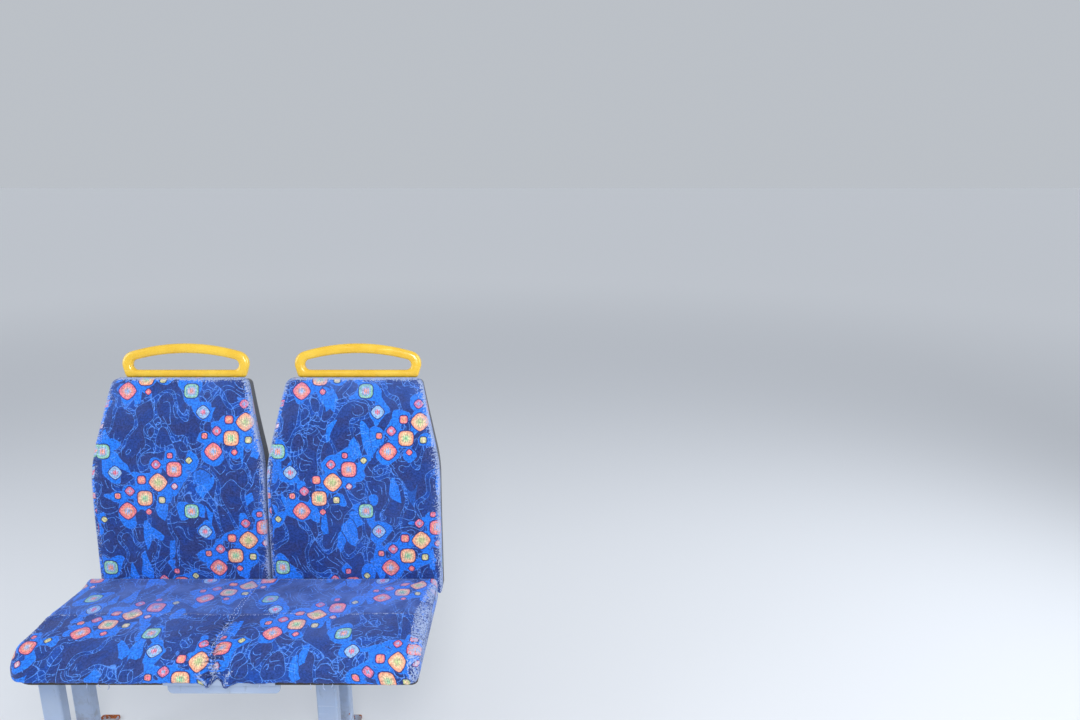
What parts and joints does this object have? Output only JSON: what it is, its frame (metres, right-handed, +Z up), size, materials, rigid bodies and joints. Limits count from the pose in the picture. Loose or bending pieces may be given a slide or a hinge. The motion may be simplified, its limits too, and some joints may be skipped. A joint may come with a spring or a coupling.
{
  "type": "double passenger seat of a city bus",
  "caption": "Fixed double bus seat: a bench cushion, separate padded backs with grab handles, a tube frame and pedestal legs bolted to the floor.",
  "frame": {"origin": "on the floor, at the centre of the rectangle of four bolts that hold the two feet down", "axes": "+X across the bus towards the aisle, -Y the way the passengers face, +Z up"},
  "size_m": [0.938, 0.4925, 1.0117],
  "materials": {
    "seat_fabric": "woven, worn",
    "frame_paint": "semi-gloss, scuffed, rusty at the feet",
    "handle_yellow": "gloss",
    "shell_grey": "fine grain",
    "board_wood": "raw plywood",
    "cap_black": "matt"
  },
  "bodies": {
    "root": {"aisle_back_pad": "seat_fabric", "aisle_back_shell": "shell_grey", "aisle_back_uprights": "frame_paint", "aisle_foot": "frame_paint", "aisle_front_post": "frame_paint", "aisle_grab_handle": "handle_yellow", "aisle_leg_head": "frame_paint", "aisle_leg_rail": "frame_paint", "aisle_rear_post": "frame_paint", "aisle_side_rail": "frame_paint", "bench_cushion": "seat_fabric", "centre_bracket": "frame_paint", "centre_rail": "frame_paint", "cushion_board": "board_wood", "front_cross_rail": "frame_paint", "rail_end_caps": "cap_black", "rear_cross_rail": "frame_paint", "wall_back_pad": "seat_fabric", "wall_back_shell": "shell_grey", "wall_back_uprights": "frame_paint", "wall_foot": "frame_paint", "wall_front_outrigger": "frame_paint", "wall_front_post": "frame_paint", "wall_grab_handle": "handle_yellow", "wall_leg_head": "frame_paint", "wall_rear_outrigger": "frame_paint", "wall_rear_post": "frame_paint", "wall_side_rail": "frame_paint"}
  },
  "joints": []
}
